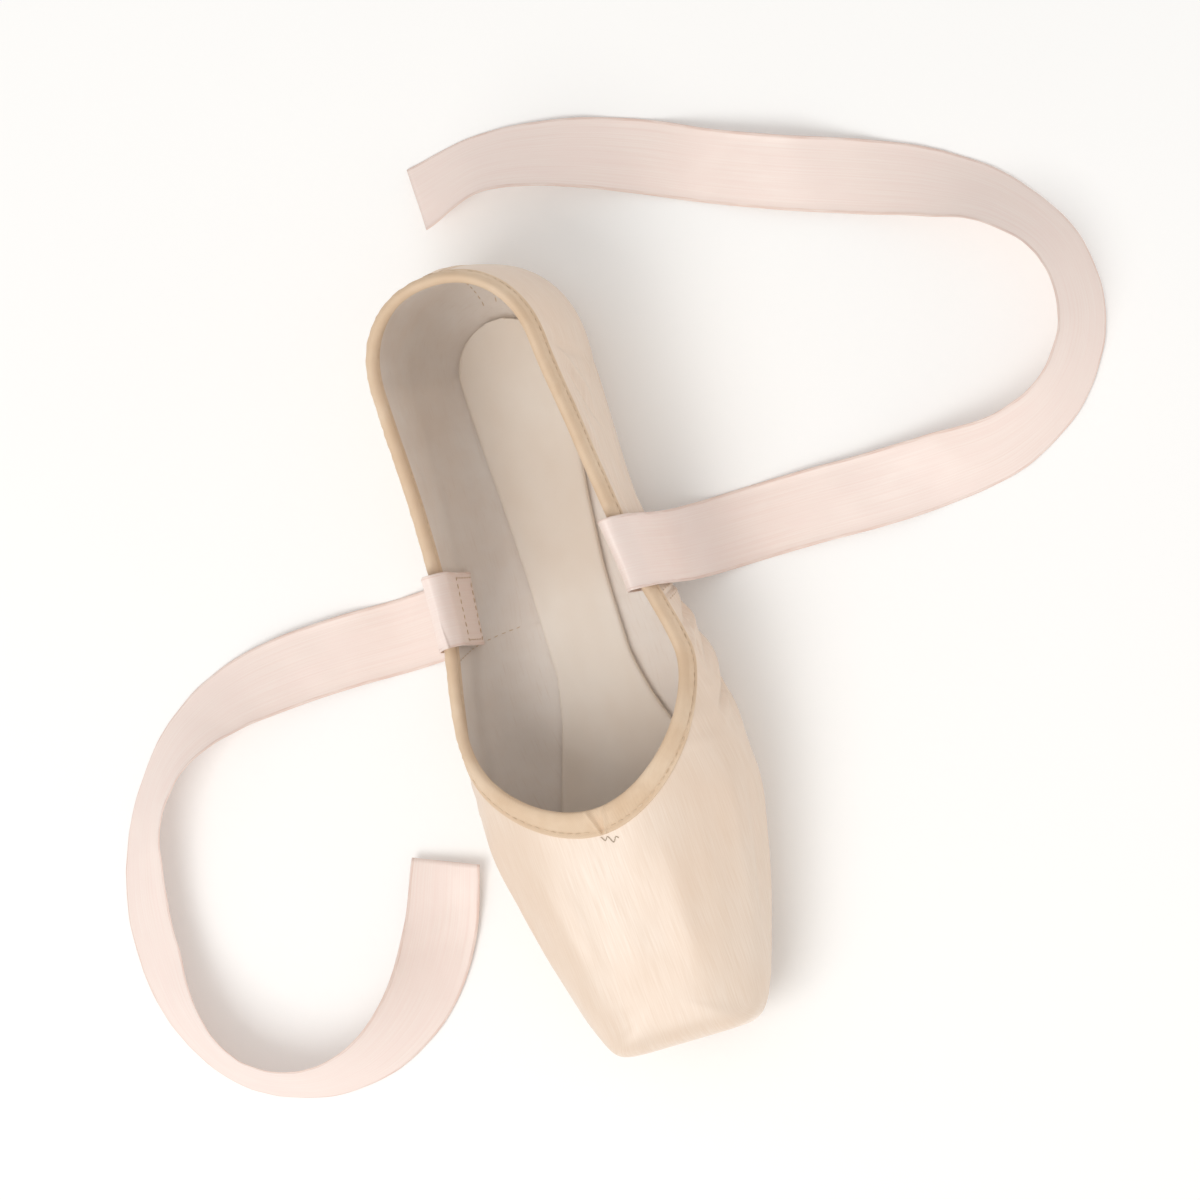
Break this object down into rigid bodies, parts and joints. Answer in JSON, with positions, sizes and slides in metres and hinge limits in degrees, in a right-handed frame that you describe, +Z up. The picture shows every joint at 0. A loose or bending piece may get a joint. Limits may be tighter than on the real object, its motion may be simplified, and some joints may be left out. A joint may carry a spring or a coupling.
{
  "type": "pointe shoe",
  "caption": "Satin ballet pointe shoe with a blocked toe box, a bound collar, a leather outsole and ankle ribbons.",
  "frame": {"origin": "on the floor, under the middle of the shoe's length and width, without its ribbons", "axes": "+Z up, -Y towards the platform at the toe, +Y towards the heel, X across the shoe"},
  "size_m": [0.344, 0.2748, 0.0598],
  "materials": {
    "outsole_leather": "matt suede-like leather with a dark cut edge and a sewn line",
    "satin": "glossy pale peach satin",
    "lining": "plain pale cotton lining",
    "binding": "soft cotton binding, cream",
    "ribbon": "fine pale pink satin ribbon"
  },
  "bodies": {
    "root": {"outsole": "outsole_leather", "upper": "satin", "insole": "lining", "collar_binding": "binding", "ribbon_right": "ribbon", "ribbon_left": "ribbon"}
  },
  "joints": []
}
